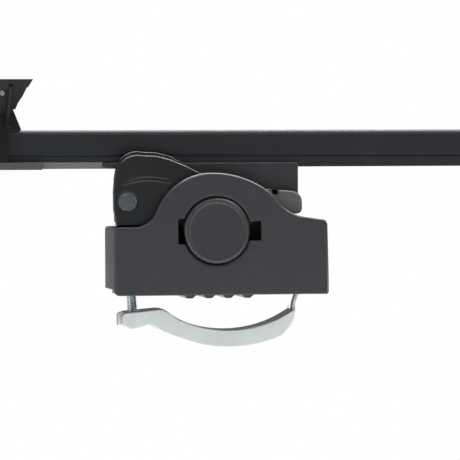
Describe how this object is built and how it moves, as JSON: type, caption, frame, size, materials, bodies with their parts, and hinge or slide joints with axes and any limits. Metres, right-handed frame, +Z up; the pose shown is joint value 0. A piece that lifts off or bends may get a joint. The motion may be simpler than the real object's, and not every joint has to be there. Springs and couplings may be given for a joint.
{
  "type": "roof mounted bike carrier",
  "caption": "Upright roof carrier for one bicycle: slotted rail on cam lever strap feet, wheel holders with ratchet straps, and a folding arm with a frame clamp.",
  "frame": {"origin": "centre of the rear foot's seat on the top of the roof bar, below the foot's pivot", "axes": "+X along the rail towards the front holder, +Z up, -Y towards the side with the levers"},
  "size_m": [1.448, 0.1163, 0.1789],
  "materials": {
    "moulded_grey": "fine moulded grain",
    "moulded_black": "fine moulded grain",
    "zinc": "bright zinc plating",
    "pin_zinc": "dull zinc plating",
    "bolt_zinc": "blue zinc plating",
    "cap_grey": "fine moulded grain",
    "lever_black": "satin",
    "grip_grey": "matt moulded",
    "galvanised": "galvanised sheet",
    "holder_black": "fine moulded grain",
    "clamp_plate": "satin powder coat",
    "strap_black": "smooth",
    "rail_black": "satin powder coat",
    "cap_black": "moulded",
    "cover_grey": "satin",
    "pad_rubber": "matt",
    "knob_black": "soft grain"
  },
  "bodies": {
    "rear_foot": {"rear_housing": "moulded_grey", "rear_rail_bracket": "moulded_black", "rear_rail_bolts": "zinc", "rear_pivot_bolt": "zinc", "rear_pivot_spacers": "zinc", "rear_pivot_cap": "cap_grey", "rear_hook_pin": "zinc"},
    "rear_tension": {"rear_barrel_pin": "pin_zinc", "rear_tension_bolt": "bolt_zinc", "rear_tension_nut": "bolt_zinc"},
    "rear_lever": {"rear_cam_lever": "lever_black", "rear_lever_grip": "grip_grey"},
    "rear_strap_body": {"rear_strap": "galvanised"},
    "rail_body": {"rail": "rail_black", "rail_end_caps": "cap_black", "slot_cover": "cover_grey", "arm_base": "holder_black", "arm_base_bolts": "zinc", "arm_pin": "zinc", "front_cradle": "holder_black", "front_cradle_clamp": "clamp_plate", "front_cradle_screws": "zinc", "front_wheel_strap": "strap_black", "front_buckle_base": "holder_black", "front_buckle_pin": "zinc"},
    "front_foot": {"front_housing": "moulded_grey", "front_rail_bracket": "moulded_black", "front_rail_bolts": "zinc", "front_pivot_bolt": "zinc", "front_pivot_spacers": "zinc", "front_pivot_cap": "cap_grey", "front_hook_pin": "zinc"},
    "front_tension": {"front_barrel_pin": "pin_zinc", "front_tension_bolt": "bolt_zinc", "front_tension_nut": "bolt_zinc"},
    "front_lever": {"front_cam_lever": "lever_black", "front_lever_grip": "grip_grey"},
    "front_strap_body": {"front_strap": "galvanised"},
    "rear_holder": {"rear_cradle": "holder_black", "rear_cradle_clamp": "clamp_plate", "rear_cradle_screws": "zinc", "rear_wheel_strap": "strap_black", "rear_buckle_base": "holder_black", "rear_buckle_pin": "zinc"},
    "rear_buckle": {"rear_buckle_lever": "lever_black"},
    "front_buckle": {"front_buckle_lever": "lever_black"},
    "arm": {"arm_tube": "rail_black", "clamp_head": "holder_black", "fixed_jaw_pad": "pad_rubber"},
    "jaw": {"moving_jaw": "holder_black", "moving_jaw_pad": "pad_rubber"},
    "knob": {"clamp_spindle": "zinc", "clamp_knob": "knob_black"}
  },
  "joints": [
    {"name": "rear_cam_drop", "type": "slide", "parent": "rear_foot", "child": "rear_tension", "axis": [0, 0, -1], "range_m": [0, 0.004]},
    {"name": "rear_lever_swing", "type": "hinge", "parent": "rear_tension", "child": "rear_lever", "pos_m": [-0.0509, 0, 0.0558], "axis": [0, -1, 0], "range_deg": [0, 100]},
    {"name": "rear_strap_swing", "type": "hinge", "parent": "rear_foot", "child": "rear_strap_body", "pos_m": [0.0495, -0.006, 0.012], "axis": [0, -1, 0], "range_deg": [0, 2.32]},
    {"name": "rail_slide", "type": "slide", "parent": "rear_foot", "child": "rail_body", "axis": [1, 0, 0], "range_m": [-0.1, 0]},
    {"name": "front_foot_slide", "type": "slide", "parent": "rail_body", "child": "front_foot", "axis": [1, 0, 0], "range_m": [-0.25, 0.06]},
    {"name": "front_cam_drop", "type": "slide", "parent": "front_foot", "child": "front_tension", "axis": [0, 0, -1], "range_m": [0, 0.004]},
    {"name": "front_lever_swing", "type": "hinge", "parent": "front_tension", "child": "front_lever", "pos_m": [0.5491, 0, 0.0558], "axis": [0, -1, 0], "range_deg": [0, 100]},
    {"name": "front_strap_swing", "type": "hinge", "parent": "front_foot", "child": "front_strap_body", "pos_m": [0.6495, -0.006, 0.012], "axis": [0, -1, 0], "range_deg": [0, 2.32]},
    {"name": "rear_holder_slide", "type": "slide", "parent": "rail_body", "child": "rear_holder", "axis": [1, 0, 0], "range_m": [-0.09, 0]},
    {"name": "rear_buckle_lift", "type": "hinge", "parent": "rear_holder", "child": "rear_buckle", "pos_m": [-0.202, -0.034, 0.1185], "axis": [-1, 0, 0], "range_deg": [0, 70]},
    {"name": "front_buckle_lift", "type": "hinge", "parent": "rail_body", "child": "front_buckle", "pos_m": [0.935, -0.034, 0.1185], "axis": [-1, 0, 0], "range_deg": [0, 70]},
    {"name": "arm_fold", "type": "hinge", "parent": "rail_body", "child": "arm", "pos_m": [0.78, 0, 0.118], "axis": [0, 1, 0], "range_deg": [0, 95]},
    {"name": "knob_turn", "type": "hinge", "parent": "arm", "child": "knob", "pos_m": [0.205, -0.06, 0.118], "axis": [0, 1, 0], "range_deg": [0, 1080]},
    {"name": "jaw_close", "type": "slide", "parent": "arm", "child": "jaw", "axis": [0, 1, 0], "range_m": [0, 0.028]}
  ],
  "couplings": [
    {"joint": "rear_cam_drop", "follows": "rear_lever_swing", "m_per_rad": 0.0022917},
    {"joint": "rear_strap_swing", "follows": "rear_lever_swing", "ratio": 0.023033},
    {"joint": "front_cam_drop", "follows": "front_lever_swing", "m_per_rad": 0.0022917},
    {"joint": "front_strap_swing", "follows": "front_lever_swing", "ratio": 0.023033},
    {"joint": "knob_turn", "follows": "jaw_close", "rad_per_m": 673.2}
  ]
}
